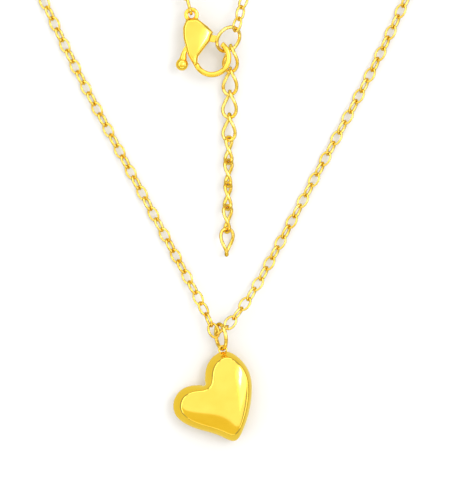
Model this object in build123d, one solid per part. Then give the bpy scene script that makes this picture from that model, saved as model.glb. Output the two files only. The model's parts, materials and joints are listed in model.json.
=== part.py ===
from build123d import *
import os
from math import cos, sin, radians, pi, hypot

os.makedirs("parts", exist_ok=True)

# Heart pendant necklace, laid out flat on a table: X across, Y up the layout, Z up from the table.
# All dimensions are in millimetres.

# ---------------------------------------------------------------- driving dimensions
# Fine oval cable chain
chain_wire = 0.42
link_length = 3.02
link_width = 2.20
link_end_radius = 0.60
link_gap = 0.08
link_pitch = link_length - 2 * chain_wire - link_gap
chain_height = 1.05
face_roll = 29
hidden_roll = 45
blend_links = 6
untwist_links = 3
untwist_power = 1.3
left_first_roll = 7
right_first_roll = 16
left_last_roll = 2
right_last_roll = 46

# Layout of the two halves of the chain
centre_link_middle = (-0.26, 2.54)
centre_heading = 35
centre_roll = 83
left_start = (-1.23, 1.53)
left_lead_in = 10.0
left_lead_heading = 66.0
right_start = (0.59, 3.07)
v_heading = 61.8
top_heading = 65.0
v_straight = 45.0
v_bend = 17.0
right_lead_in = 12.0
right_lead_heading = 49.0
left_shoulder_radius = 15.4
right_shoulder_radius = 16.8
arrival_heading = 255.0
pendant_rise = 15.0
clasp_rise = 16.0
roll_change = 63.0

# Pendant jump ring
ring_wire = 0.66
ring_radius = 2.22
ring_centre = (-0.40, 1.42)
ring_plane_height = 2.77
ring_heading = 98.1
ring_lean = 23
ring_slit = 1.4
pendant_slit_angle = 103
centre_link_height = 2.90

# Puffed heart
heart_half_thickness = 2.75
heart_wall = 0.45
heart_rim_steps = ((0.0, 0.0), (0.95, 0.07), (1.75, 0.35), (2.20, 0.85))
heart_crown_inset = 1.7
heart_skew = (0.22, -0.05)
notch_inset_share = 0.75
eye_radius = 0.66
eye_wire = 0.32
eye_centre = (-0.08, -0.89)

# Lobster clasp
clasp_height = 3.32
clasp_half_thickness = 1.20
hook_centre = (-2.0, 50.73)
hook_radius = 2.98
hook_wire = 0.98
hook_tip_angle = 55
hook_root_angle = 200
clasp_edge_round = 0.4
pivot = (-5.0, 54.6)
pin_radius = 0.35
pin_half_length = 1.15
lever_clearance = 0.05
lever_half_thickness = 0.38
slot_half_height = 0.45
hub_radius = 0.90
gate_length = 4.15
gate_width = 1.25
gate_angle = -9
trigger_angle = 236
trigger_arm_width = 0.84
trigger_neck_length = 3.3
trigger_bulb_radius = 1.10
trigger_bulb_centre = (-7.27, 49.54)
trigger_neck_radii = (0.42, 0.85)
slot_overrun = 0.5
lever_swing = 35
spring_radius = 1.35
spring_thickness = 0.16
spring_width = 0.60
spring_start = 45
spring_span = 80
spring_pocket_radius = 1.55
spring_pocket_wall_angle = 250
tail_centre = (-5.60, 58.30)
tail_radius = 0.95
tail_wire = 0.80
clasp_axis_heading = 105

# Clasp tail ring and end ring
tail_ring_radius = 1.55
tail_ring_wire = 0.55
tail_ring_height = 3.12
tail_slit_angle = 90
end_ring_wire = 0.60
end_ring_radius = 2.35
end_ring_centre = (0.92, 54.00)
end_ring_axis_heading = 48.5
end_ring_tilt = 44
end_ring_chain_angle = 8
end_ring_extender_angle = 243
end_slit_angle = 60
ring_play = 0.06

# Extender chain of twisted links
extender_count = 9
extender_wire = 0.60
extender_length = 5.32
extender_width = 3.60
extender_gap = 0.06
extender_top_gap = 0.22
extender_pitch = extender_length - 2 * extender_wire - extender_gap
extender_edge_on = (0.02, 0.05, 0.05, 0.15, 0.50, 0.58, 0.50, 0.62, 0.90)
extender_drift = -0.02

# Links in each rigid run of the chain, from the pendant to the clasp
left_runs = (5, 5, 7, 24, 11, 5, 10, 25)
right_runs = (5, 5, 5, 30, 7, 5, 7, 32)


# ---------------------------------------------------------------- small helpers
def heading_vector(heading):
    """Unit vector in the table plane at a heading in degrees."""
    return Vector(cos(radians(heading)), sin(radians(heading)), 0)


def flat(point, height=0.0):
    """Point above a place in the table plane."""
    return Vector(point[0], point[1], height)


def ring_solid(radius, wire, plane, slit_angle=None, slit=0.0):
    """Round wire ring lying in a plane, with an optional slit where its ends meet."""
    if slit_angle is None:
        return plane.location * Torus(radius, wire / 2)
    start = Plane.XZ.location * Pos(radius, 0) * Circle(wire / 2)
    body = revolve(start, Axis.Z, 360 - slit)
    return plane.location * Rot(0, 0, slit_angle + slit / 2) * body


def arc_of_wire(centre_x, centre_y, radius, wire, start, sweep_angle):
    """Piece of round wire bent to an arc in the XY plane."""
    section = Plane.XZ.location * Pos(radius, 0) * Circle(wire / 2)
    bent = revolve(section, Axis.Z, sweep_angle)
    return Pos(centre_x, centre_y, 0) * Rot(0, 0, start) * bent


def oval_link():
    """Oval cable link along X in the XY plane: two end arcs and two flatter side arcs."""
    half_length = (link_length - chain_wire) / 2
    half_width = (link_width - chain_wire) / 2
    reach = half_length - link_end_radius
    side_radius = (reach**2 + half_width**2 - link_end_radius**2) / (2 * (half_width - link_end_radius))
    drop = side_radius - half_width
    side_half_angle = Vector(0, 1, 0).get_angle(Vector(reach, drop, 0))
    end_half_angle = 90 - side_half_angle
    solid = arc_of_wire(reach, 0, link_end_radius, chain_wire, -end_half_angle, 2 * end_half_angle)
    solid += arc_of_wire(-reach, 0, link_end_radius, chain_wire, 180 - end_half_angle, 2 * end_half_angle)
    solid += arc_of_wire(0, -drop, side_radius, chain_wire, 90 - side_half_angle, 2 * side_half_angle)
    solid += arc_of_wire(0, drop, side_radius, chain_wire, 270 - side_half_angle, 2 * side_half_angle)
    return solid


def place_link(shape, start, end, roll):
    """Link laid between two interlock points, rolled about its own length."""
    along = (end - start).normalized()
    side = Vector(0, 0, 1).cross(along).normalized()
    up = along.cross(side)
    normal = up * cos(radians(roll)) + side * sin(radians(roll))
    seat = Plane(origin=(start + end) * 0.5, x_dir=along, z_dir=normal)
    return shape.moved(seat.location)


# ---------------------------------------------------------------- route of the chain
def step_along(point, length, heading_in, heading_out):
    """End of a stretch whose heading changes evenly from one value to another."""
    turn = radians(heading_out - heading_in)
    if abs(turn) < 1e-9:
        return point + heading_vector(heading_in) * length
    radius = length / turn
    delta_x = radius * (sin(radians(heading_out)) - sin(radians(heading_in)))
    delta_y = -radius * (cos(radians(heading_out)) - cos(radians(heading_in)))
    return point + Vector(delta_x, delta_y, 0)


def close_route(start, stretches, radius, first, last, target):
    """Add the two straights and the shoulder bend that bring a route to its target."""
    point = start
    for stretch in stretches:
        point = step_along(point, *stretch)
    bend_length = radius * abs(radians(last - first))
    bend_end = step_along(Vector(0, 0, 0), bend_length, first, last)
    gap = target - point - bend_end
    up = heading_vector(first)
    down = heading_vector(last)
    det = up.X * down.Y - up.Y * down.X
    rise = (gap.X * down.Y - gap.Y * down.X) / det
    fall = (up.X * gap.Y - up.Y * gap.X) / det
    return stretches + [(rise, first, first), (bend_length, first, last), (fall, last, last)]


def route_point(start, stretches, distance):
    """Place on a route at a distance from its start."""
    point = start
    for length, heading_in, heading_out in stretches:
        if distance <= length:
            heading = heading_in + (heading_out - heading_in) * distance / length
            return step_along(point, distance, heading_in, heading)
        point = step_along(point, length, heading_in, heading_out)
        distance -= length
    return point


def eased(fraction):
    """Smooth change from 0 to 1."""
    fraction = min(max(fraction, 0.0), 1.0)
    return fraction * fraction * (3 - 2 * fraction)


def interlocks(start, stretches, count, start_height, end_height):
    """Interlock points of a half chain, evenly spaced, with the lift at both ends."""
    total = sum(stretch[0] for stretch in stretches)
    points = []
    for index in range(count + 1):
        distance = total * index / count
        point = route_point(start, stretches, distance)
        from_pendant = (start_height - chain_height) * (1 - eased(distance / pendant_rise))
        from_clasp = (end_height - chain_height) * (1 - eased((total - distance) / clasp_rise))
        points.append(Vector(point.X, point.Y, chain_height + from_pendant + from_clasp))
    return points


# ---------------------------------------------------------------- end ring and clasp geometry
end_axis = heading_vector(end_ring_axis_heading)
end_side = heading_vector(end_ring_axis_heading + 90) * cos(radians(end_ring_tilt))
end_side += Vector(0, 0, sin(radians(end_ring_tilt)))
end_ring_plane = Plane(
    origin=flat(end_ring_centre, clasp_height), x_dir=end_axis, z_dir=end_axis.cross(end_side)
)


def end_ring_point(angle):
    """Centre of the end ring's wire at an angle round the ring."""
    swing = end_axis * cos(radians(angle)) + end_side * sin(radians(angle))
    return end_ring_plane.origin + swing * end_ring_radius


clasp_axis = heading_vector(clasp_axis_heading)
tail_point = flat(tail_centre, clasp_height)
tail_ring_low = tail_radius - tail_wire / 2 - tail_ring_wire / 2 - lever_clearance
tail_ring_origin = flat(tail_centre, tail_ring_height) + clasp_axis * (tail_ring_low + tail_ring_radius)
apex_overhang = (link_length - chain_wire - link_pitch) / 2
link_in_tail_ring = tail_ring_radius - tail_ring_wire / 2 - chain_wire / 2 - lever_clearance
left_target = tail_ring_origin + clasp_axis * (link_in_tail_ring + apex_overhang)
right_arrival = heading_vector(arrival_heading)
link_in_end_ring = end_ring_wire / 2 + chain_wire / 2 + ring_play
right_target = end_ring_point(end_ring_chain_angle) + right_arrival * (link_in_end_ring - apex_overhang)

# ---------------------------------------------------------------- the two half chains
left_origin = flat(left_start)
right_origin = flat(right_start)
left_route = close_route(
    left_origin,
    [
        (left_lead_in, 180 - left_lead_heading, 180 - v_heading),
        (v_straight - left_lead_in, 180 - v_heading, 180 - v_heading),
        (v_bend, 180 - v_heading, 180 - top_heading),
    ],
    left_shoulder_radius,
    180 - top_heading,
    180 - arrival_heading,
    flat((left_target.X, left_target.Y)),
)
right_route = close_route(
    right_origin,
    [
        (right_lead_in, right_lead_heading, v_heading),
        (v_straight - right_lead_in, v_heading, v_heading),
        (v_bend, v_heading, top_heading),
    ],
    right_shoulder_radius,
    top_heading,
    arrival_heading,
    flat((right_target.X, right_target.Y)),
)
left_count = sum(left_runs)
right_count = sum(right_runs)
left_points = interlocks(left_origin, left_route, left_count, centre_link_height, left_target.Z)
right_points = interlocks(right_origin, right_route, right_count, centre_link_height, right_target.Z)


def link_roll(index, count, face_first, first_roll, last_roll):
    """Roll of a link: alternate links lie nearer to flat and nearer to edge-on."""
    hidden = eased((index * link_pitch - roll_change) / clasp_rise)
    near_end = eased((index - count + 1 + blend_links) / blend_links)
    flatter = face_roll + (hidden_roll - face_roll) * hidden
    flatter += (last_roll - flatter) * near_end
    untwisted = max(0.0, 1 - index / untwist_links) ** untwist_power
    flatter += (first_roll - face_roll + (0 if face_first else 90)) * untwisted
    if (index % 2 == 0) == face_first:
        return flatter
    return flatter - 90


def half_chain(points, runs, face_first, first_roll, last_roll, name):
    """Every rigid run of one half of the chain, each link a solid of its own."""
    link = oval_link()
    count = len(points) - 1
    index = 0
    nodes = {}
    for run_number, run in enumerate(runs, start=1):
        links = []
        for _ in range(run):
            roll = link_roll(index, count, face_first, first_roll, last_roll)
            links.append(place_link(link, points[index], points[index + 1], roll).solid())
            index += 1
        nodes[f"{name}_{run_number:02d}"] = Compound(links)
    return nodes


# ---------------------------------------------------------------- pendant
def pendant_ring():
    """Jump ring that slides on the chain and holds the heart."""
    along = heading_vector(ring_heading)
    side = heading_vector(ring_heading - 90) * sin(radians(ring_lean)) + Vector(0, 0, cos(radians(ring_lean)))
    plane = Plane(origin=flat(ring_centre, ring_plane_height), x_dir=along, z_dir=along.cross(side))
    return ring_solid(ring_radius, ring_wire, plane, slit_angle=pendant_slit_angle, slit=ring_slit)


def heart_outline(inset=0.0, shift=(0.0, 0.0)):
    """Heart outline: the leaning heart's lobes, notch and tip, brought in by an inset."""
    knots = (
        (-3.10, -7.35),
        (-3.20, -5.60),
        (-2.45, -2.95),
        (0.25, -1.20),
        (3.05, -2.60),
        (4.75, -5.30),
        (5.08, -8.40),
        (4.55, -12.10),
        (3.45, -15.30),
        (2.20, -17.00),
        (-0.35, -16.25),
        (-3.60, -15.20),
        (-6.60, -14.05),
        (-8.50, -12.30),
        (-8.75, -10.10),
        (-7.45, -8.05),
        (-5.20, -7.22),
    )
    count = len(knots)
    moved = []
    for index, (x, y) in enumerate(knots):
        before = knots[index - 1]
        after = knots[(index + 1) % count]
        run_x = after[0] - before[0]
        run_y = after[1] - before[1]
        size = hypot(run_x, run_y)
        inward = (run_y / size, -run_x / size)
        depth = inset * (notch_inset_share if index == 0 else 1.0)
        moved.append((x + inward[0] * depth + shift[0], y + inward[1] * depth + shift[1]))
    return Wire([Edge.make_spline([Vector(*p) for p in moved] + [Vector(*moved[0])])])


def heart_half(wall_inset, height_drop):
    """Solid front half of the heart above its mid-plane, brought in evenly for the cavity."""
    sections = []
    for height, inset in heart_rim_steps:
        scale = (heart_rim_steps[-1][0] - height_drop) / heart_rim_steps[-1][0]
        lean = inset / heart_rim_steps[-1][1]
        shift = (heart_skew[0] * lean, heart_skew[1] * lean)
        wire = heart_outline(inset + wall_inset, shift)
        sections.append(Face(wire).moved(Pos(0, 0, height * scale)))
    rim = loft(sections)
    ridge = sections[-1]
    crown_wire = heart_outline(heart_crown_inset + wall_inset, heart_skew)
    crown = Face(crown_wire).moved(Pos(0, 0, heart_half_thickness - height_drop))
    return rim + loft([ridge, crown], ruled=True)


def heart():
    """Front and back shells, brazed at the mid-plane, and the eye on the rim."""
    outer = heart_half(0.0, 0.0)
    inner = heart_half(heart_wall, heart_wall)
    front = outer - inner
    back = mirror(front, about=Plane.XY)
    whole = outer + mirror(outer, about=Plane.XY)
    eye = Pos(eye_centre[0], eye_centre[1], 0) * Torus(eye_radius, eye_wire / 2) - whole
    lift = Pos(0, 0, heart_half_thickness)
    return {
        "heart_front_shell": lift * front,
        "heart_back_shell": lift * back,
        "heart_eye": lift * eye,
    }


# ---------------------------------------------------------------- clasp
def clasp_outline():
    """Rounded triangular body of the clasp seen from the front."""
    corners = [
        (-5.15, 49.30),
        (-6.28, 51.26),
        (-7.06, 54.27),
        (-7.10, 56.04),
        (-6.50, 57.50),
        (-4.50, 57.60),
        (-2.69, 56.21),
        (-1.75, 55.20),
        (-2.25, 53.80),
        (-4.45, 50.90),
        (-4.55, 49.60),
    ]
    return make_face(Polyline(*corners, close=True))


def lever_face(extra, overrun):
    """Gate lever outline: hub, gate arm and trigger arm, grown by a clearance and lengthened."""
    arm_length = trigger_neck_length + overrun
    hub = Circle(hub_radius + extra)
    gate = Rot(0, 0, gate_angle) * Pos(gate_length / 2, 0) * Rectangle(gate_length, gate_width + 2 * extra)
    arm = Rot(0, 0, trigger_angle) * Pos(arm_length / 2, 0)
    arm = arm * Rectangle(arm_length, trigger_arm_width + 2 * extra)
    return hub + gate + arm


def clasp_slot():
    """Slot in the clasp body that clears the lever over its whole swing."""
    height = 2 * slot_half_height
    swept = Circle(hub_radius + 2 * lever_clearance)
    for angle in range(0, lever_swing + 1, 5):
        swept += Rot(0, 0, -angle) * lever_face(2 * lever_clearance, slot_overrun)
    pocket_wall = Rot(0, 0, spring_pocket_wall_angle) * sector_side(spring_pocket_radius)
    spring_pocket = Circle(spring_pocket_radius) - pocket_wall
    slot = extrude(swept + spring_pocket, height)
    return Pos(pivot[0], pivot[1], -height / 2) * slot


def clasp():
    """Body with its hook and tail eye, gate lever, pivot pin and return spring."""
    thickness = 2 * clasp_half_thickness
    body = Pos(0, 0, -clasp_half_thickness) * extrude(clasp_outline(), thickness)
    caps = body.faces().filter_by(Axis.Z)
    body = chamfer(caps.edges(), clasp_edge_round)
    hook_sweep = 360 - hook_root_angle + hook_tip_angle
    body += arc_of_wire(*hook_centre, hook_radius, hook_wire, hook_root_angle, hook_sweep)
    body += Pos(tail_centre[0], tail_centre[1], 0) * Torus(tail_radius, tail_wire / 2)
    body -= clasp_slot()
    pin = Pos(pivot[0], pivot[1], 0) * Cylinder(pin_radius, 2 * pin_half_length)
    body -= pin
    lever_height = 2 * lever_half_thickness
    lever = Pos(pivot[0], pivot[1], -lever_half_thickness) * extrude(lever_face(0, 0), lever_height)
    bulb = Pos(*trigger_bulb_centre) * Sphere(trigger_bulb_radius)
    neck_start = Vector(*pivot, 0) + heading_vector(trigger_angle) * trigger_neck_length
    neck_run = Vector(*trigger_bulb_centre, 0) - neck_start
    neck_plane = Plane(origin=neck_start, z_dir=neck_run)
    neck = neck_plane.location * Pos(0, 0, neck_run.length / 2) * Cone(*trigger_neck_radii, neck_run.length)
    lever = lever + bulb + neck
    lever -= Pos(pivot[0], pivot[1], 0) * Cylinder(pin_radius + lever_clearance, thickness)
    leaf = Rot(0, 0, spring_start) * arc_strip(spring_radius, spring_thickness, spring_span)
    spring = Pos(pivot[0], pivot[1], -spring_width / 2) * extrude(leaf, spring_width)
    lift = Pos(0, 0, clasp_height)
    return {
        "clasp_body": lift * body,
        "clasp_gate_lever": lift * lever,
        "clasp_pivot_pin": lift * pin,
        "clasp_leaf_spring": lift * spring,
    }


def sector_side(radius):
    """Square that covers the half of a circle on the +X side."""
    return Rectangle(3 * radius, 3 * radius, align=(Align.MIN, Align.CENTER))


def arc_strip(radius, width, angle):
    """Narrow curved strip, as an area."""
    strip = Circle(radius + width / 2) - Circle(radius - width / 2)
    return strip & (Rot(0, 0, 90) * sector_side(radius)) & (Rot(0, 0, angle - 90) * sector_side(radius))


# ---------------------------------------------------------------- extender
def twisted_link():
    """Oval link along X whose plane turns a quarter turn from one end to the other."""
    half_length = (extender_length - extender_wire) / 2
    half_width = (extender_width - extender_wire) / 2
    steps = 12
    upper_tangent = Vector(-half_length, 0, half_width * pi / 4)
    lower_tangent = Vector(half_length, 0, half_width * pi / 4)
    link = None
    for first, ends in ((pi / 2, (upper_tangent, lower_tangent)), (-pi / 2, (lower_tangent, upper_tangent))):
        points = []
        for step in range(steps + 1):
            angle = first + pi * step / steps
            out = half_width * sin(angle)
            twist = -cos(angle) * pi / 4
            points.append(Vector(half_length * cos(angle), out * cos(twist), out * sin(twist)))
        path = Edge.make_spline(points, tangents=ends)
        section = Plane(origin=path @ 0, z_dir=path % 0) * Circle(extender_wire / 2)
        half = sweep(section, path=path)
        link = half if link is None else link + half
    return link


# ---------------------------------------------------------------- assembly
nodes = {}
centre_half = heading_vector(centre_heading) * (link_pitch / 2)
centre_middle = flat(centre_link_middle, centre_link_height)
nodes["chain_centre_link"] = place_link(
    oval_link(), centre_middle - centre_half, centre_middle + centre_half, centre_roll
)
nodes.update(half_chain(left_points, left_runs, False, left_first_roll, left_last_roll, "chain_left"))
nodes.update(half_chain(right_points, right_runs, True, right_first_roll, right_last_roll, "chain_right"))
nodes["pendant_ring"] = pendant_ring()
nodes.update(heart())
nodes.update(clasp())
tail_plane = Plane(origin=tail_ring_origin, x_dir=clasp_axis, z_dir=clasp_axis.cross(Vector(0, 0, 1)))
nodes["clasp_tail_ring"] = ring_solid(tail_ring_radius, tail_ring_wire, tail_plane, tail_slit_angle, ring_slit)
nodes["end_ring"] = ring_solid(end_ring_radius, end_ring_wire, end_ring_plane, end_slit_angle, ring_slit)

extender_top = end_ring_point(end_ring_extender_angle)
hang = Vector(extender_drift, -1, 0).normalized()
extender_link = twisted_link()
extender_apex = extender_top - hang * ((end_ring_wire + extender_wire) / 2 + extender_top_gap)
for number in range(extender_count):
    top = extender_apex + hang * (number * extender_pitch)
    centre = top + hang * ((extender_length - extender_wire) / 2)
    edge_on = extender_edge_on[number]
    plane = Plane(origin=centre, x_dir=-hang, z_dir=(0, 0, 1))
    roll = -45 - 90 * edge_on
    nodes[f"extender_link_{number + 1:02d}"] = plane.location * Rot(roll, 0, 0) * extender_link

# The origin is the middle of the layout, at the height of the table.
boxes = [shape.bounding_box() for shape in nodes.values()]
middle_x = (min(box.min.X for box in boxes) + max(box.max.X for box in boxes)) / 2
middle_y = (min(box.min.Y for box in boxes) + max(box.max.Y for box in boxes)) / 2
for name, shape in nodes.items():
    solids = [solid.moved(Pos(-middle_x, -middle_y, 0)) for solid in shape.solids()]
    export_step(Compound(solids) if len(solids) > 1 else solids[0], f"parts/{name}.step")
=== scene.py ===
# %% [markdown]
# # A gold heart necklace, laid out on a table
#
# This lesson dresses a necklace. Its frame of plain solids already says where every link, ring
# and shell lies, and which of them move together. Here each piece gets its real surface: round
# wire for the links, a soft pillow for the heart, a tumbled casting for the clasp, and bright
# gold plate over all. Lengths are in metres, so a millimetre has a name of its own.

import json
import math

import bmesh
import bpy
import numpy as np
from mathutils import Matrix, Vector
from mathutils.geometry import delaunay_2d_cdt


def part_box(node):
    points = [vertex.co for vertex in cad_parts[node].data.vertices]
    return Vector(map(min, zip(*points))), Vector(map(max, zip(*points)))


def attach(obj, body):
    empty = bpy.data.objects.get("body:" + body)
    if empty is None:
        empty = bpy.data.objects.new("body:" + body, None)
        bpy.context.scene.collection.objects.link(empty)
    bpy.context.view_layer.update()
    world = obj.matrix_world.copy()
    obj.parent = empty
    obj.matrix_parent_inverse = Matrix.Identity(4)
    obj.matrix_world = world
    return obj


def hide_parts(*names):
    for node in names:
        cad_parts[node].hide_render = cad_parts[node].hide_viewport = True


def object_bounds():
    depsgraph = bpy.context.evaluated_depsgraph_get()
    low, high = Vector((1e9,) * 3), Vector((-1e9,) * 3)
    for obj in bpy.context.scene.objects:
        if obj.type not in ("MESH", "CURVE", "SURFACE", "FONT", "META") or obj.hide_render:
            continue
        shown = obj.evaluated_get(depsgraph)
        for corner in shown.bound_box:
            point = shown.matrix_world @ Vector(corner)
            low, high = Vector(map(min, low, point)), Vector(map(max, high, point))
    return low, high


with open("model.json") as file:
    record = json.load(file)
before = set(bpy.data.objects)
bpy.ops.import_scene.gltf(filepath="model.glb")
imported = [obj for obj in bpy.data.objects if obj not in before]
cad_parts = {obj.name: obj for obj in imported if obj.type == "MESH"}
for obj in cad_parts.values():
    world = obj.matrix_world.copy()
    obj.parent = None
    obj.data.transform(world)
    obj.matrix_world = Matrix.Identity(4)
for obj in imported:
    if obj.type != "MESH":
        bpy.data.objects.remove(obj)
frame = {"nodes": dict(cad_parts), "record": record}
cad_low, cad_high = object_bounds()
MM = 0.001
print("necklace box in mm:", [round(side / MM, 1) for side in cad_high - cad_low])

# %% [markdown]
# ## Which body carries which piece
#
# A necklace bends because its links hang in one another. The frame groups the solids into
# bodies, and every piece made here has to travel with the body of the solid it stands for.
# Each piece could name its body by hand, but one slip would leave a link behind when the chain
# moves. A look-up from solid to body keeps that in one place.

# %% Bodies and finishes of the solids
bodies = frame["record"]["behaviour"]["bodies"]
body_of_node = {node: body for body, members in bodies.items() for node in members}


def seat(piece, *nodes):
    """Let a finished piece stand for its solids and travel with their body."""
    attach(piece, body_of_node[nodes[0]])
    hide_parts(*nodes)
    return piece


def new_piece(name, mesh, finish):
    """Object at the origin that shows a mesh in one finish."""
    piece = bpy.data.objects.new(name, mesh)
    bpy.context.scene.collection.objects.link(piece)
    mesh.materials.clear()
    mesh.materials.append(finish)
    return piece


# %% [markdown]
# ## The gold
#
# Chain, rings, clasp and heart are base metal under a thin, bright gold plate. Polished metal
# has no colour apart from what it reflects, so the shader is a pure metal with a warm reflection
# colour. One flat colour would do from afar, but close up it looks like a perfect mirror. Three
# quiet patterns prevent that: slow cloudy changes of tone, a slightly uneven gloss, and buffing
# marks far finer than a wire. Wire gets one more touch, painted shade: a dark brown edge colour
# stands in for the dark reflections that outline thin wire where it curves away from the eye.

# %% Gold finish
TONE_CLOUDS = 260.0
GLOSS_PATCHES = 1400.0
BUFFING_LINES = 9000.0
ALONG_THE_BUFF = (1.0, 0.12, 1.0)
BUFFING_DEPTH = 0.002 * MM


def pattern(tree, scale, detail, stretch=(1.0, 1.0, 1.0)):
    """Noise fixed to the piece, with the scale given in waves per metre."""
    place = tree.nodes.new("ShaderNodeTexCoord")
    mapping = tree.nodes.new("ShaderNodeMapping")
    mapping.inputs["Scale"].default_value = stretch
    noise = tree.nodes.new("ShaderNodeTexNoise")
    noise.inputs["Scale"].default_value = scale
    noise.inputs["Detail"].default_value = detail
    tree.links.new(place.outputs["Object"], mapping.inputs["Vector"])
    tree.links.new(mapping.outputs["Vector"], noise.inputs["Vector"])
    return noise.outputs["Fac"]


def polished_metal(name, light_tone, deep_tone, gloss, buffing, painted_edge_shade=(1.0, 1.0, 1.0)):
    """Bright metal: two close tones, uneven gloss, fine buffing marks and an edge colour, which on
    wire is painted shade.
    """
    finish = bpy.data.materials.new(name)
    finish.use_nodes = True
    tree = finish.node_tree
    shader = tree.nodes["Principled BSDF"]
    shader.inputs["Metallic"].default_value = 1.0
    # Edge colour at grazing angles: on wire a dark brown, painted shade along its outline.
    shader.inputs["Specular Tint"].default_value = (*painted_edge_shade, 1.0)
    tone = tree.nodes.new("ShaderNodeValToRGB")
    tone.color_ramp.elements[0].position = 0.35
    tone.color_ramp.elements[0].color = (*deep_tone, 1.0)
    tone.color_ramp.elements[1].position = 0.65
    tone.color_ramp.elements[1].color = (*light_tone, 1.0)
    tree.links.new(pattern(tree, TONE_CLOUDS, 2.0), tone.inputs["Fac"])
    tree.links.new(tone.outputs["Color"], shader.inputs["Base Color"])
    spread = tree.nodes.new("ShaderNodeMapRange")
    spread.inputs["To Min"].default_value = gloss[0]
    spread.inputs["To Max"].default_value = gloss[1]
    tree.links.new(pattern(tree, GLOSS_PATCHES, 3.0), spread.inputs["Value"])
    tree.links.new(spread.outputs["Result"], shader.inputs["Roughness"])
    marks = tree.nodes.new("ShaderNodeBump")
    marks.inputs["Strength"].default_value = buffing
    marks.inputs["Distance"].default_value = BUFFING_DEPTH
    tree.links.new(pattern(tree, BUFFING_LINES, 2.0, ALONG_THE_BUFF), marks.inputs["Height"])
    tree.links.new(marks.outputs["Normal"], shader.inputs["Normal"])
    return finish


# %% Golds and steel
WARM_GOLD = (0.93, 0.635, 0.10)
DEEP_GOLD = (0.90, 0.59, 0.08)
WIRE_GOLD = (0.95, 0.71, 0.20)
WIRE_SHADE = (0.88, 0.59, 0.11)
# Dark brown edge colour for wire: painted shade that darkens its outline.
WIRE_PAINTED_EDGE_SHADE = (0.30, 0.20, 0.05)
STEEL = (0.62, 0.62, 0.64)
STEEL_SHADE = (0.55, 0.55, 0.57)

chain_gold = polished_metal("chain gold", WIRE_GOLD, WIRE_SHADE, (0.10, 0.20), 0.10, WIRE_PAINTED_EDGE_SHADE)
heart_gold = polished_metal("heart gold", WARM_GOLD, DEEP_GOLD, (0.07, 0.12), 0.04)
clasp_gold = polished_metal("clasp gold", WARM_GOLD, DEEP_GOLD, (0.10, 0.18), 0.08)
ring_gold = polished_metal("ring gold", WIRE_GOLD, WIRE_SHADE, (0.10, 0.18), 0.08, WIRE_PAINTED_EDGE_SHADE)
extender_gold = polished_metal("extender gold", WIRE_GOLD, WIRE_SHADE, (0.10, 0.20), 0.10, WIRE_PAINTED_EDGE_SHADE)
spring_steel = polished_metal("spring steel", STEEL, STEEL_SHADE, (0.20, 0.30), 0.10)
print("finishes:", sorted(finish.name for finish in bpy.data.materials))

# %% [markdown]
# ## Where every link lies
#
# On the real chain each new link is closed through the last one, so every link's place follows
# from its neighbours. The places could be worked out again from a curve, but the frame holds
# them already, so each is read from its solid. A first node tree welds the solid's loose
# triangles and numbers its islands, one island to a link. From each island come a middle, a long
# direction, and the direction in which its waist is widest. The waist is used because it is
# right for the flat links and for the twisted links of the extender.

# %% Tree that numbers the islands of a node
WELD_REACH = 0.0001 * MM


def link_up(tree, *pairs):
    """Join output sockets to input sockets, given as pairs."""
    for output, entry in pairs:
        tree.links.new(output, entry)


def island_tree():
    """Weld loose triangles and store an island number on every point."""
    tree = bpy.data.node_groups.new("number the links", "GeometryNodeTree")
    tree.is_modifier = True
    tree.interface.new_socket("Geometry", in_out="INPUT", socket_type="NodeSocketGeometry")
    tree.interface.new_socket("Geometry", in_out="OUTPUT", socket_type="NodeSocketGeometry")
    start = tree.nodes.new("NodeGroupInput")
    end = tree.nodes.new("NodeGroupOutput")
    weld = tree.nodes.new("GeometryNodeMergeByDistance")
    weld.inputs["Distance"].default_value = WELD_REACH
    island = tree.nodes.new("GeometryNodeInputMeshIsland")
    store = tree.nodes.new("GeometryNodeStoreNamedAttribute")
    store.data_type = "INT"
    store.domain = "POINT"
    store.inputs["Name"].default_value = "island"
    link_up(
        tree,
        (start.outputs["Geometry"], weld.inputs["Geometry"]),
        (weld.outputs["Geometry"], store.inputs["Geometry"]),
        (island.outputs["Island Index"], store.inputs["Value"]),
        (store.outputs["Geometry"], end.inputs["Geometry"]),
    )
    return tree


number_the_links = island_tree()
print("tree ready:", number_the_links.name)


# %% Running a tree
def plain_mesh(holder):
    """Mesh of an object with its modifiers applied, which are then taken off it."""
    ready = holder.evaluated_get(bpy.context.evaluated_depsgraph_get())
    made = bpy.data.meshes.new_from_object(ready)
    holder.modifiers.clear()
    return made


def run_tree(source, tree, settings=()):
    """Plain mesh that a node tree makes from a source mesh."""
    holder = bpy.data.objects.new("holder", source)
    bpy.context.scene.collection.objects.link(holder)
    modifier = holder.modifiers.new("tree", "NODES")
    modifier.node_group = tree
    for identifier, value in settings:
        modifier[identifier] = value
    made = plain_mesh(holder)
    bpy.data.objects.remove(holder)
    return made


def welded(node):
    """Welded copy of a solid's mesh, with its islands numbered."""
    return run_tree(frame["nodes"][node].data.copy(), number_the_links)


# %% Middle and directions of every link
WAIST = 0.25


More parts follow.
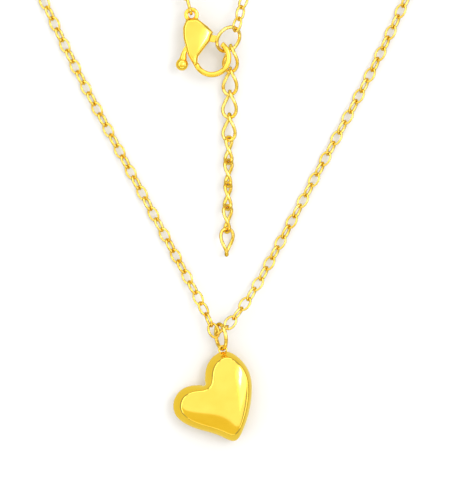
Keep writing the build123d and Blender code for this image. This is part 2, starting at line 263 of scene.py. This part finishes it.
def link_places(node):
    """Middle, long direction and waist direction of each link of a node."""
    mesh = welded(node)
    mesh.calc_loop_triangles()
    points = np.zeros(len(mesh.vertices) * 3)
    mesh.vertices.foreach_get("co", points)
    points = points.reshape(-1, 3)
    corners = np.zeros(len(mesh.loop_triangles) * 3, np.int32)
    mesh.loop_triangles.foreach_get("vertices", corners)
    corners = corners.reshape(-1, 3)
    island = np.zeros(len(mesh.vertices), np.int32)
    mesh.attributes["island"].data.foreach_get("value", island)
    triangle_island = island[corners[:, 0]]
    places = []
    for number in range(island.max() + 1):
        triangle = points[corners[triangle_island == number]]
        area = np.linalg.norm(
            np.cross(triangle[:, 1] - triangle[:, 0], triangle[:, 2] - triangle[:, 0]), axis=1
        )
        centre = triangle.mean(axis=1)
        middle = (centre * area[:, None]).sum(0) / area.sum()
        offset = centre - middle
        along = np.linalg.eigh((offset * area[:, None]).T @ offset)[1][:, 2]
        run = offset @ along
        waist = offset[np.abs(run) < WAIST * np.abs(run).max()]
        waist = waist - np.outer(waist @ along, along)
        across = np.linalg.eigh(waist.T @ waist)[1][:, 2]
        places.append((Vector(middle), Vector(along), Vector(across)))
    bpy.data.meshes.remove(mesh)
    return places


sample = link_places("chain_centre_link")
print("centre link middle in mm:", [round(value / MM, 2) for value in sample[0][0]])

# %% [markdown]
# ## A tree that bends wire into links
#
# Each link is a length of round wire bent to an oval and closed. A stretched torus would come
# close, but stretching flattens its wire at the ends. So in the tree a unit circle is drawn out
# to the link's length and width, and its far end may be turned against its near end, which is
# how the twisted links of the extender come out of the same tree. The wire is then swept round
# that path. A link that is repeated hundreds of times needs few faces: sixteen steps round the
# oval and six round the wire stay round at arm's length.

# %% Link tree
def link_tree():
    """Round-wire links on points, turned by the points' own rotation."""
    tree = bpy.data.node_groups.new("bend wire into links", "GeometryNodeTree")
    tree.is_modifier = True
    tree.interface.new_socket("Geometry", in_out="OUTPUT", socket_type="NodeSocketGeometry")
    tree.interface.new_socket("Geometry", in_out="INPUT", socket_type="NodeSocketGeometry")
    entries = {}
    for name, kind in (
        ("Length", "NodeSocketFloat"),
        ("Width", "NodeSocketFloat"),
        ("Wire", "NodeSocketFloat"),
        ("Twist", "NodeSocketFloat"),
        ("Steps", "NodeSocketInt"),
        ("Sides", "NodeSocketInt"),
        ("Finish", "NodeSocketMaterial"),
    ):
        entries[name] = tree.interface.new_socket(name, in_out="INPUT", socket_type=kind).identifier
    start = tree.nodes.new("NodeGroupInput")
    end = tree.nodes.new("NodeGroupOutput")

    def math_node(operation, first, second=None):
        node = tree.nodes.new("ShaderNodeMath")
        node.operation = operation
        for entry, value in zip(node.inputs, (first, second)):
            if isinstance(value, (int, float)):
                entry.default_value = value
            elif value is not None:
                tree.links.new(value, entry)
        return node.outputs[0]

    circle = tree.nodes.new("GeometryNodeCurvePrimitiveCircle")
    circle.inputs["Radius"].default_value = 1.0
    position = tree.nodes.new("GeometryNodeInputPosition")
    parts = tree.nodes.new("ShaderNodeSeparateXYZ")
    path_length = math_node("SUBTRACT", start.outputs["Length"], start.outputs["Wire"])
    half_length = math_node("MULTIPLY", path_length, 0.5)
    path_width = math_node("SUBTRACT", start.outputs["Width"], start.outputs["Wire"])
    half_width = math_node("MULTIPLY", path_width, 0.5)
    twist_here = math_node("MULTIPLY", parts.outputs["X"], start.outputs["Twist"])
    turn = math_node("MULTIPLY", twist_here, -0.5)
    reach = math_node("MULTIPLY", parts.outputs["Y"], half_width)
    bent = tree.nodes.new("ShaderNodeCombineXYZ")
    path = tree.nodes.new("GeometryNodeSetPosition")
    profile = tree.nodes.new("GeometryNodeCurvePrimitiveCircle")
    sweep = tree.nodes.new("GeometryNodeCurveToMesh")
    lay = tree.nodes.new("GeometryNodeInstanceOnPoints")
    rotation = tree.nodes.new("GeometryNodeInputNamedAttribute")
    rotation.data_type = "QUATERNION"
    rotation.inputs["Name"].default_value = "turn"
    solid = tree.nodes.new("GeometryNodeRealizeInstances")
    smooth = tree.nodes.new("GeometryNodeSetShadeSmooth")
    coat = tree.nodes.new("GeometryNodeSetMaterial")
    link_up(
        tree,
        (start.outputs["Steps"], circle.inputs["Resolution"]),
        (position.outputs["Position"], parts.inputs["Vector"]),
        (math_node("MULTIPLY", parts.outputs["X"], half_length), bent.inputs["X"]),
        (math_node("MULTIPLY", reach, math_node("COSINE", turn)), bent.inputs["Y"]),
        (math_node("MULTIPLY", reach, math_node("SINE", turn)), bent.inputs["Z"]),
        (circle.outputs["Curve"], path.inputs["Geometry"]),
        (bent.outputs["Vector"], path.inputs["Position"]),
        (start.outputs["Sides"], profile.inputs["Resolution"]),
        (math_node("MULTIPLY", start.outputs["Wire"], 0.5), profile.inputs["Radius"]),
        (path.outputs["Geometry"], sweep.inputs["Curve"]),
        (profile.outputs["Curve"], sweep.inputs["Profile Curve"]),
        (start.outputs["Geometry"], lay.inputs["Points"]),
        (sweep.outputs["Mesh"], lay.inputs["Instance"]),
        (rotation.outputs["Attribute"], lay.inputs["Rotation"]),
        (lay.outputs["Instances"], solid.inputs["Geometry"]),
        (solid.outputs["Geometry"], smooth.inputs["Geometry"]),
        (smooth.outputs["Geometry"], coat.inputs["Geometry"]),
        (start.outputs["Finish"], coat.inputs["Material"]),
        (coat.outputs["Geometry"], end.inputs["Geometry"]),
    )
    return tree, entries


bend_wire, bend_entries = link_tree()
print("tree inputs:", list(bend_entries))


# %% Laying links on their places
def lay_links(node, sizes, finish):
    """Links of one size on the places that a node's solids hold."""
    places = link_places(node)
    spots = bpy.data.meshes.new(node + " spots")
    spots.from_pydata([place[0] for place in places], [], [])
    turns = spots.attributes.new("turn", "QUATERNION", "POINT")
    for index, (_, along, across) in enumerate(places):
        square = (across - along * across.dot(along)).normalized()
        axes = Matrix((along, square, along.cross(square))).transposed()
        turns.data[index].value = axes.to_quaternion()
    settings = [(bend_entries[name], value) for name, value in sizes.items()]
    settings.append((bend_entries["Finish"], finish))
    mesh = run_tree(spots, bend_wire, settings)
    bpy.data.meshes.remove(spots)
    seat(new_piece(node + "_wire", mesh, finish), node)
    return len(places)


# %% [markdown]
# ## The fine chain
#
# Two half chains run from the link above the heart, up over the shoulders and back to the
# clasp. Each oval link leaves a hole far wider than its own wire, so the next link has room to
# turn in it. The links could be one mesh, but then the chain could not bend. So every bending
# run of the frame becomes a mesh of its own.

# %% Chain links
CHAIN_LINK = {
    "Length": 3.02 * MM,
    "Width": 2.20 * MM,
    "Wire": 0.45 * MM,
    "Twist": 0.0,
    "Steps": 16,
    "Sides": 6,
}
chain_nodes = [node for node in sorted(frame["nodes"]) if node.startswith("chain_")]
chain_links = sum(lay_links(node, CHAIN_LINK, chain_gold) for node in chain_nodes)
print(chain_links, "chain links in", len(chain_nodes), "meshes")

# %% [markdown]
# ## The extender
#
# The extender lets the wearer hook the clasp closer in or farther out. Its links are larger,
# and each is twisted a quarter turn, so that the next link can lie in the same plane as the
# last. They are few, so the same tree makes them with a finer sweep than the fine chain's.

# %% Extender links
EXTENDER_LINK = {
    "Length": 5.32 * MM,
    "Width": 3.60 * MM,
    "Wire": 0.60 * MM,
    "Twist": math.radians(90),
    "Steps": 48,
    "Sides": 16,
}
extender_nodes = [node for node in sorted(frame["nodes"]) if node.startswith("extender_link")]
extender_links = sum(lay_links(node, EXTENDER_LINK, extender_gold) for node in extender_nodes)
print(extender_links, "twisted links")

# %% [markdown]
# ## Jump rings and the heart's eye
#
# A jump ring is a turn of wire cut from a coil, sprung open to take the next piece, and closed
# again. A swept circle would make the ring, but not the fine slit where its ends meet, and the
# solid already has that. So these pieces are welded copies of their solids, with smooth shading
# between near-level faces and a clean edge at the cut.

# %% Smooth copies of solids
CRISP_ANGLE = math.radians(35)


def smooth_copy(node, finish):
    """Welded copy of a solid with smooth shading that keeps its sharp edges."""
    mesh = welded(node)
    shape = bmesh.new()
    shape.from_mesh(mesh)
    for face in shape.faces:
        face.smooth = True
    for edge in shape.edges:
        if len(edge.link_faces) == 2 and edge.calc_face_angle(0.0) > CRISP_ANGLE:
            edge.smooth = False
    shape.to_mesh(mesh)
    shape.free()
    mesh.attributes.remove(mesh.attributes["island"])
    return new_piece(node + "_smooth", mesh, finish)


for node in ("pendant_ring", "end_ring", "clasp_tail_ring"):
    seat(smooth_copy(node, ring_gold), node)
seat(smooth_copy("heart_eye", heart_gold), "heart_eye")
print("jump rings and eye dressed")

# %% [markdown]
# ## The outline of the heart
#
# The heart is pressed from two thin shells and brazed round the edge. Its outline could be
# drawn again by hand, but the front shell's rim holds it already: the outer loop of edges on the
# seam. The loop is stepped evenly and its finest wiggles are removed, because in a mirror finish
# even a flat of a hundredth of a millimetre shows.

# %% Rim of the front shell
RIM_STEPS = 264
RIM_WAVES = 34
SEAM_REACH = 0.001 * MM


def rim_loops(node):
    """Closed loops of points where the level seam face meets the walls."""
    mesh = welded(node)
    shape = bmesh.new()
    shape.from_mesh(mesh)
    level = min(vertex.co.z for vertex in shape.verts)
    neighbours = {}
    for edge in shape.edges:
        if all(abs(vertex.co.z - level) < SEAM_REACH for vertex in edge.verts):
            down = [face.normal.z < -0.9 for face in edge.link_faces]
            if down.count(True) == 1 and len(down) == 2:
                first, second = edge.verts
                neighbours.setdefault(first, []).append(second)
                neighbours.setdefault(second, []).append(first)
    loops = []
    while neighbours:
        here = next(iter(neighbours))
        loop = []
        while here is not None:
            loop.append(np.array(here.co[:2]))
            onward = [vertex for vertex in neighbours.pop(here) if vertex in neighbours]
            here = onward[0] if onward else None
        loops.append(np.array(loop))
    shape.free()
    bpy.data.meshes.remove(mesh)
    return loops, level


found_loops, seam_height = rim_loops("heart_front_shell")
print(len(found_loops), "loops on the seam")


# %% Even steps round a loop
def spaced(loop, count):
    """Loop stepped evenly by length."""
    closed = np.vstack([loop, loop[:1]])
    length = np.concatenate([[0], np.cumsum(np.linalg.norm(np.diff(closed, axis=0), axis=1))])
    steps = np.arange(count) * length[-1] / count
    return np.column_stack([np.interp(steps, length, closed[:, axis]) for axis in (0, 1)])


def even_loop(loop, count, waves):
    """Evenly stepped loop with only its slower waves kept."""
    even = spaced(loop, count)
    spectrum = np.fft.fft(even[:, 0] + 1j * even[:, 1])
    keep = np.abs(np.fft.fftfreq(count, 1 / count)) <= waves
    smooth = np.fft.ifft(spectrum * keep)
    return np.column_stack([smooth.real, smooth.imag])


def turning_left(loop):
    """The same loop, counter-clockwise."""
    ahead = np.roll(loop, -1, axis=0)
    twice_area = (loop[:, 0] * ahead[:, 1] - ahead[:, 0] * loop[:, 1]).sum()
    return loop if twice_area > 0 else loop[::-1].copy()


widest = max(found_loops, key=lambda loop: np.ptp(loop[:, 0]))
rim = turning_left(even_loop(widest, RIM_STEPS, RIM_WAVES))
heart_low, heart_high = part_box("heart_front_shell")
half_thickness = heart_high.z - seam_height
print("heart is", [round(value / MM, 2) for value in np.ptp(rim, axis=0)], "mm across")

# %% [markdown]
# ## The side of the heart
#
# The side rolls inwards from the seam up to a soft ridge that goes all round. It is wider on
# the left than on the right, as if the face had been pressed a little off centre. Scaling the
# outline down would make the side too narrow at the notch. So ring after ring is stepped inwards
# along its own normals and eased a little each time, which keeps the rings clear of one another
# at the tip and lets them open out at the notch.

# %% Rings from the seam to the ridge
SIDE_INSET = 0.90 * MM
SIDE_LEAN = 0.50
RIDGE_HEIGHT = 0.76
SIDE_RINGS = 26
RIDGE_ANGLE = math.radians(45)
ROUNDNESS = 0.5
SIDE_EASING = 2


def inward(loop):
    """Unit normals that point into a counter-clockwise loop."""
    run = np.roll(loop, -1, axis=0) - np.roll(loop, 1, axis=0)
    run /= np.linalg.norm(run, axis=1)[:, None]
    return np.column_stack([-run[:, 1], run[:, 0]])


def eased_loop(loop, passes):
    """Loop whose points move half way to the middle of their neighbours, then space out evenly."""
    for _ in range(passes):
        middle = (np.roll(loop, -1, axis=0) + np.roll(loop, 1, axis=0)) / 2
        loop = (loop + middle) / 2
    return spaced(loop, len(loop))


def side_rings():
    """Rings of the side, each with its height over the seam."""
    rings = [(rim, 0.0)]
    loop = rim
    done = 0.0
    for number in range(1, SIDE_RINGS + 1):
        angle = RIDGE_ANGLE * number / SIDE_RINGS
        rise = math.sin(angle) / math.sin(RIDGE_ANGLE)
        bow = (1 - math.cos(angle)) / (1 - math.cos(RIDGE_ANGLE))
        inset = rise + (bow - rise) * ROUNDNESS
        height = rise * RIDGE_HEIGHT * half_thickness
        normal = inward(loop)
        step = (inset - done) * SIDE_INSET * (1 + SIDE_LEAN * normal[:, :1])
        loop = eased_loop(loop + normal * step, SIDE_EASING)
        rings.append((loop, height))
        done = inset
    return rings


rings = side_rings()
ridge = rings[-1][0]
print("ridge is", [round(value / MM, 2) for value in np.ptp(ridge, axis=0)], "mm across")

# %% [markdown]
# ## Just inside the ridge
#
# Next to the ridge the polished face turns quickly, and a jagged mesh would show there as a
# ragged line of light. Filling the whole face with loose points would leave it jagged. So seven
# even rings, a tenth of a millimetre apart, lead from the ridge into the face first.

# %% Even rings just inside the ridge
BORDER_RINGS = 7
BORDER_STEP = 0.11 * MM
BORDER_EASING = 4


def border_rings():
    """Rings of the face next to the ridge, from the ridge inwards."""
    loops = [ridge]
    for _ in range(BORDER_RINGS):
        inner = loops[-1] + inward(loops[-1]) * BORDER_STEP
        loops.append(eased_loop(inner, BORDER_EASING))
    return loops


border = border_rings()
print("border is", round(BORDER_RINGS * BORDER_STEP / MM, 2), "mm wide")

# %% [markdown]
# ## The face of the heart
#
# Inside the ridge the face swells like a soap film with a little pressure behind it. It could
# be sculpted, or inflated as cloth, but that shape has a name, the solution of Poisson's
# equation, and it needs no hand-made profile: the ridge is held, the inside is filled with
# points, and every point is asked to stand a little higher than the average of its neighbours.
# Conjugate gradients find it in a few hundred steps.

# %% Points inside the ridge
FACE_STEP = 0.21 * MM
ROOM_AT_EDGE = 0.75


def inside(loop, points):
    """True for each point that lies within a loop."""
    odd = np.zeros(len(points), bool)
    for start, end in zip(loop, np.roll(loop, -1, axis=0)):
        spans = (start[1] > points[:, 1]) != (end[1] > points[:, 1])
        slope = (end[0] - start[0]) / (end[1] - start[1] + 1e-30)
        odd ^= spans & (points[:, 0] < start[0] + slope * (points[:, 1] - start[1]))
    return odd


def face_points(loop, step):
    """Triangular grid of points well inside a loop."""
    low, high = loop.min(0), loop.max(0)
    rows = np.arange(low[1], high[1], step * math.sqrt(3) / 2)
    grid = []
    for number, y in enumerate(rows):
        x = np.arange(low[0] + (number % 2) * step / 2, high[0], step)
        grid.append(np.column_stack([x, np.full_like(x, y)]))
    grid = np.vstack(grid)
    grid = grid[inside(loop, grid)]
    gap = np.min([np.linalg.norm(grid - point, axis=1) for point in loop], axis=0)
    return grid[gap > ROOM_AT_EDGE * step]


def fill_face(loop, step):
    """Points and triangles that fill a loop. The loop's own points come first."""
    points = np.vstack([loop, face_points(loop, step)])
    edges = [(index, (index + 1) % len(loop)) for index in range(len(loop))]
    scaled = [Vector(point / step) for point in points]
    _, _, triangles, sources, _, _ = delaunay_2d_cdt(scaled, edges, [], 1, 1e-6)
    origin = [source[0] for source in sources]
    return points, np.array([[origin[corner] for corner in triangle] for triangle in triangles])


def face_mesh():
    """Points and triangles of the whole face: the border rings, then the filled middle."""
    middle_xy, middle_triangles = fill_face(border[-1], FACE_STEP)
    points = np.vstack(border[:-1] + [middle_xy])
    triangles = [middle_triangles + RIM_STEPS * BORDER_RINGS]
    here = np.arange(RIM_STEPS)
    after = np.roll(here, -1)
    for number in range(BORDER_RINGS):
        lower = number * RIM_STEPS
        upper = lower + RIM_STEPS
        triangles.append(np.column_stack([lower + here, lower + after, upper + after]))
        triangles.append(np.column_stack([lower + here, upper + after, upper + here]))
    return points, np.vstack(triangles)


face_xy, face_triangles = face_mesh()
print(len(face_xy), "face points,", len(face_triangles), "triangles")

# %% Pillow over the face
STILL = 1e-16


def pillow(points, triangles, held):
    """Film height over each point, from 0 at the held points to 1 at the top."""
    first, second, weight = [], [], []
    load = np.zeros(len(points))
    for turn in range(3):
        a, b, c = (triangles[:, (turn + shift) % 3] for shift in range(3))
        u, v = points[a] - points[c], points[b] - points[c]
        area = np.abs(u[:, 0] * v[:, 1] - u[:, 1] * v[:, 0])
        share = (u * v).sum(1) / area / 2
        first += [a, b]
        second += [b, a]
        weight += [share, share]
        np.add.at(load, c, area / 6)
    first, second, weight = map(np.concatenate, (first, second, weight))
    total = np.bincount(first, weight, len(points))
    free = np.arange(len(points)) >= held

    def pull(height):
        return (total * height - np.bincount(first, weight * height[second], len(points))) * free

    height = np.zeros(len(points))
    rest = load * free
    along = rest.copy()
    energy = rest @ rest
    goal = energy * STILL
    while energy > goal:
        drawn = pull(along)
        step = energy / (along @ drawn)
        height += step * along
        rest -= step * drawn
        fresh = rest @ rest
        along = rest + along * (fresh / energy)
        energy = fresh
    return height / height.max()


swell = pillow(face_xy, face_triangles, RIM_STEPS)
print("highest point of the face, mm:", [round(value / MM, 2) for value in face_xy[swell.argmax()]])

# %% [markdown]
# ## Closing the heart
#
# Front and back are the same skin turned over, joined at the seam, so the finished heart is
# one closed, polished form. Two separate shells would show a dark line where the polisher leaves
# none. The ridge is eased by a few smoothing passes, which stand for the fillet that a polishing
# wheel leaves. On the right the wheel took more away, and the face rolls straight over the edge.

# %% Rolling the edge over
FACE_SWELL = (1 - RIDGE_HEIGHT) * half_thickness
FACE_FULLNESS = 0.80
RIDGE_PASSES = 3
RIDGE_BAND = 2
ROLL_PASSES = 40
ROLL_REACH = 1.1 * MM
ROLL_LOWEST = 0.45
ROLL_FACING = -0.35


def rolls_over(vertex, ridge_inward):
    """True near the ridge where the face rolls over the edge instead of meeting a ridge."""
    gap = np.linalg.norm(ridge - np.array(vertex.co[:2]), axis=1)
    nearest = gap.argmin()
    height = abs(vertex.co.z - seam_height)
    return (
        gap[nearest] < ROLL_REACH
        and height > ROLL_LOWEST * half_thickness
        and ridge_inward[nearest][0] < ROLL_FACING
    )


def relax(shape, vertices):
    """Move vertices half way to the middle of their neighbours."""
    bmesh.ops.smooth_vert(
        shape, verts=vertices, factor=0.5, use_axis_x=True, use_axis_y=True, use_axis_z=True
    )


# %% Heart skin
def heart_skin():
    """Closed skin of the heart: two sides and two faces, mirrored at the seam."""
    shape = bmesh.new()
    near_ridge = []
    for side in (1, -1):
        rows = []
        for number, (loop, height) in enumerate(rings):
            if number == 0 and side == -1:
                rows.append(seam_row)
                continue
            row = [shape.verts.new((x, y, seam_height + side * height)) for x, y in loop]
            rows.append(row)
            if number >= SIDE_RINGS - RIDGE_BAND:
                near_ridge += row
        if side == 1:
            seam_row = rows[0]
        top = seam_height + side * RIDGE_HEIGHT * half_thickness
        inner = [
            shape.verts.new((x, y, top + side * FACE_SWELL * rise**FACE_FULLNESS))
            for (x, y), rise in zip(face_xy[RIM_STEPS:], swell[RIM_STEPS:])
        ]
        face = rows[-1] + inner
        for lower, upper in zip(rows, rows[1:]):
            for index in range(RIM_STEPS):
                after = (index + 1) % RIM_STEPS
                shape.faces.new((lower[index], lower[after], upper[after], upper[index]))
        for triangle in face_triangles:
            shape.faces.new([face[corner] for corner in triangle])
        near_ridge += inner[: RIDGE_BAND * RIM_STEPS]
    for _ in range(RIDGE_PASSES):
        relax(shape, near_ridge)
    ridge_inward = inward(ridge)
    rolled = [vertex for vertex in shape.verts if rolls_over(vertex, ridge_inward)]
    for _ in range(ROLL_PASSES):
        relax(shape, rolled)
    bmesh.ops.recalc_face_normals(shape, faces=shape.faces)
    for face in shape.faces:
        face.smooth = True
    mesh = bpy.data.meshes.new("heart")
    shape.to_mesh(mesh)
    shape.free()
    return mesh


heart = new_piece("heart_skin", heart_skin(), heart_gold)
seat(heart, "heart_front_shell", "heart_back_shell")
print("heart skin:", len(heart.data.polygons), "faces")

# %% [markdown]
# ## The lobster clasp
#
# A lobster clasp is a small casting: a body that carries the hook and the tail eye, and a gate
# lever that turns on a pin and is pushed by the teardrop trigger. The pin is riveted and
# polished flush, so it disappears into the body. Castings have no crisp edges left after
# tumbling. Bevels would leave the flats between them dead flat, so instead the solid's shape is
# turned into fine even cells and relaxed. The body may relax a lot, but the thin hook and eye
# only a little, or they would shrink.

# %% Soft casting
def joined(*nodes):
    """One mesh that holds the solids of several nodes."""
    shape = bmesh.new()
    for node in nodes:
        mesh = welded(node)
        shape.from_mesh(mesh)
        bpy.data.meshes.remove(mesh)
    whole = bpy.data.meshes.new(nodes[0])
    shape.to_mesh(whole)
    shape.free()
    return whole


def cast_piece(nodes, finish, cell, passes, soft_region=None, soft_passes=0):
    """Piece with every edge of its solids rounded, as tumbling leaves a casting."""
    piece = new_piece(nodes[0] + "_cast", joined(*nodes), finish)
    remesh = piece.modifiers.new("even cells", "REMESH")
    remesh.mode = "VOXEL"
    remesh.voxel_size = cell
    tumble = piece.modifiers.new("tumble", "SMOOTH")
    tumble.factor = 0.5
    tumble.iterations = passes
    piece.data = plain_mesh(piece)
    if soft_region is not None:
        group = piece.vertex_groups.new(name="soft")
        for vertex in piece.data.vertices:
            weight = soft_region(vertex.co)
            if weight > 0:
                group.add([vertex.index], weight, "REPLACE")
        polish = piece.modifiers.new("polish", "SMOOTH")
        polish.factor = 0.5
        polish.iterations = soft_passes
        polish.vertex_group = "soft"
        made = plain_mesh(piece)
        piece.vertex_groups.clear()
        piece.data = made
    for polygon in piece.data.polygons:
        polygon.use_smooth = True
    piece.data.materials.clear()
    piece.data.materials.append(finish)
    return piece


# %% Body and lever of the clasp
BODY_REACH = 5.2 * MM
BODY_FADE = 1.2 * MM
CROWN = 0.38
CROWN_SHIFT = Vector((-0.1, -1.2, 0.0)) * MM
CROWN_HALF_WIDTH = 3.2 * MM
CROWN_HALF_LENGTH = 5.5 * MM
BODY_CELL = 0.07 * MM
BODY_PASSES = 6
POLISH_PASSES = 60
LEVER_CELL = 0.06 * MM
LEVER_PASSES = 3

pin_low, pin_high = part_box("clasp_pivot_pin")
pin_middle = (pin_low + pin_high) / 2


def near_body(point):
    """How much a place belongs to the clasp's body rather than to its hook or eye."""
    reach = math.hypot(point.x - pin_middle.x, point.y - pin_middle.y)
    return max(0.0, min(1.0, (BODY_REACH - reach) / BODY_FADE))


def crown(piece):
    """Let the body's two faces fall away towards its edges."""
    middle = pin_middle + CROWN_SHIFT
    for vertex in piece.data.vertices:
        out_x = (vertex.co.x - middle.x) / CROWN_HALF_WIDTH
        out_y = (vertex.co.y - middle.y) / CROWN_HALF_LENGTH
        fall = min(1.0, math.hypot(out_x, out_y)) ** 2 * CROWN * near_body(vertex.co)
        vertex.co.z = middle.z + (vertex.co.z - middle.z) * (1 - fall)


body_nodes = ("clasp_body", "clasp_pivot_pin")
clasp_body = cast_piece(body_nodes, clasp_gold, BODY_CELL, BODY_PASSES, near_body, POLISH_PASSES)
crown(clasp_body)
seat(clasp_body, *body_nodes)
lever = cast_piece(("clasp_gate_lever",), clasp_gold, LEVER_CELL, LEVER_PASSES)
seat(lever, "clasp_gate_lever")
print("clasp:", len(clasp_body.data.polygons), "and", len(lever.data.polygons), "faces")

# %% [markdown]
# ## The spring
#
# The leaf spring is hidden in the slot behind the lever and pushes the gate shut. It is a
# plain bent strip, and its solid is already right, so only its finish is set: bare steel.

# %% Finish of the spring
leaf = frame["nodes"]["clasp_leaf_spring"]
leaf.data.materials.clear()
leaf.data.materials.append(spring_steel)
print("spring finished")

# %% [markdown]
# ## The table
#
# The necklace lies on a plain pale table. Only the camera and the soft shadows need it. In the
# gold it would show as a dull grey, so reflections pass through it to a warm card below.

# %% Table
TABLE_HALF = 1.6
TABLE_GAP = 0.02 * MM


def square(half, height):
    """Corners of a level square round the origin."""
    return [(-half, -half, height), (half, -half, height), (half, half, height), (-half, half, height)]


table_mesh = bpy.data.meshes.new("table")
table_mesh.from_pydata(square(TABLE_HALF, cad_low.z - TABLE_GAP), [], [(0, 1, 2, 3)])
table_white = bpy.data.materials.new("table white")
table_white.use_nodes = True
table_shader = table_white.node_tree.nodes["Principled BSDF"]
table_shader.inputs["Base Color"].default_value = (0.72, 0.72, 0.72, 1.0)
table_shader.inputs["Roughness"].default_value = 0.7
table_shader.inputs["Specular IOR Level"].default_value = 0.2
table = new_piece("table", table_mesh, table_white)
table.visible_glossy = False
print("table is", 2 * TABLE_HALF, "m wide")

# %% [markdown]
# ## The light
#
# Polished jewellery is lit by what it mirrors. One large box overhead fills the faces with an
# even yellow. To the right, a box and a narrow strip beside it draw the long pale highlight down
# the heart's right lobe. Four low boxes, one on each side, light the ridge and the shoulders of
# the wires all the way round. Two warm cards are seen by reflections alone: one towards the
# viewer gives the lower part of the heart its darker band, and one under the table gives the
# heart's side its deep gold. A single lamp would be simpler, but most of the gold would then
# mirror a dark room. What the lights leave free mirrors an even, pale one.

# %% Lights
heart_middle = Vector(((heart_low.x + heart_high.x) / 2, (heart_low.y + heart_high.y) / 2, 0))


def soft_box(name, place, size, power, turn=0.0):
    """Rectangular light over the table, turned towards the heart and about its own middle."""
    lamp = bpy.data.lights.new(name, "AREA")
    lamp.shape = "RECTANGLE"
    lamp.size, lamp.size_y = size
    lamp.energy = power
    holder = bpy.data.objects.new(name, lamp)
    bpy.context.scene.collection.objects.link(holder)
    holder.location = heart_middle + Vector(place)
    aim = (-Vector(place)).to_track_quat("-Z", "Y").to_matrix() @ Matrix.Rotation(turn, 3, "Z")
    holder.rotation_euler = aim.to_euler()
    holder.visible_camera = False


soft_box("overhead_box", (0.0, 0.10, 0.80), (1.30, 1.30), 4.0)
soft_box("right_box", (0.42, 0.16, 0.62), (0.34, 0.60), 1.0, math.radians(20))
soft_box("right_strip", (0.27, 0.15, 0.60), (0.05, 0.30), 0.6, math.radians(25))
for name, place, size, power in (
    ("left_low_box", (-0.72, 0.05, 0.50), (1.2, 0.40), 2.8),
    ("right_low_box", (0.80, 0.05, 0.42), (1.2, 0.26), 1.8),
    ("far_low_box", (0.0, 0.85, 0.50), (1.2, 0.40), 2.8),
    ("near_low_box", (0.0, -0.80, 0.42), (1.2, 0.26), 1.8),
):
    soft_box(name, place, size, power)


# %% Warm cards
FRONT_GLOW = (0.95, 0.86, 0.28)
UNDER_GLOW = (0.92, 0.90, 0.42)
UNDER_GAP = 0.1 * MM


def card(name, corners, glow):
    """Softly glowing card of one colour that only reflections see."""
    mesh = bpy.data.meshes.new(name)
    mesh.from_pydata([heart_middle + Vector(corner) for corner in corners], [], [(0, 1, 2, 3)])
    finish = bpy.data.materials.new(name)
    finish.use_nodes = True
    shader = finish.node_tree.nodes["Principled BSDF"]
    shader.inputs["Base Color"].default_value = (0.0, 0.0, 0.0, 1.0)
    shader.inputs["Specular IOR Level"].default_value = 0.0
    shader.inputs["Emission Color"].default_value = (*glow, 1.0)
    shader.inputs["Emission Strength"].default_value = 1.0
    piece = new_piece(name, mesh, finish)
    piece.visible_camera = False
    piece.visible_shadow = False
    piece.visible_diffuse = False


front_corners = [(-0.5, 0.0, 0.45), (0.5, -0.25, 0.45), (0.5, -0.60, 0.36), (-0.5, -0.60, 0.36)]
card("front_card", front_corners, FRONT_GLOW)
card("under_card", square(1.0, cad_low.z - UNDER_GAP), UNDER_GLOW)
print("cards: front_card and under_card")

# %% Room
ROOM_LOW = 0.50
ROOM_HIGH = 0.62

room = bpy.data.worlds.new("room")
bpy.context.scene.world = room
room.use_nodes = True
sky = room.node_tree.nodes["Background"]
direction = room.node_tree.nodes.new("ShaderNodeTexCoord")
split = room.node_tree.nodes.new("ShaderNodeSeparateXYZ")
lift = room.node_tree.nodes.new("ShaderNodeMapRange")
lift.inputs["From Min"].default_value = 0.25
lift.inputs["From Max"].default_value = 0.65
lift.inputs["To Min"].default_value = ROOM_LOW
lift.inputs["To Max"].default_value = ROOM_HIGH
link_up(
    room.node_tree,
    (direction.outputs["Generated"], split.inputs["Vector"]),
    (split.outputs["Z"], lift.inputs["Value"]),
    (lift.outputs["Result"], sky.inputs["Strength"]),
)
sky.inputs["Color"].default_value = (1.0, 1.0, 1.0, 1.0)
print("room rises from", ROOM_LOW, "near the table to", ROOM_HIGH, "overhead")

# %% [markdown]
# ## Camera
#
# The necklace is seen from straight above. A parallel view would do, but a long lens looks more
# natural, and leans almost as little. The view is framed on the heart, the two strands above it,
# and the clasp and extender between them.

# %% Camera
LENS = 200.0
SENSOR = 36.0
VIEW_HEIGHT = 89.2 * MM
VIEW_RISE = 25.52 * MM
VIEW_SHIFT = 2.20 * MM

lens = bpy.data.cameras.new("camera")
lens.lens = LENS
lens.sensor_width = SENSOR
lens.clip_start = 0.01
camera = bpy.data.objects.new("camera", lens)
bpy.context.scene.collection.objects.link(camera)
camera.location = (
    heart_middle.x + VIEW_SHIFT,
    heart_middle.y + VIEW_RISE,
    heart_low.z + VIEW_HEIGHT * LENS / SENSOR,
)
bpy.context.scene.camera = camera
bpy.context.scene.view_settings.view_transform = "Standard"
print("camera at", [round(value, 4) for value in camera.location])
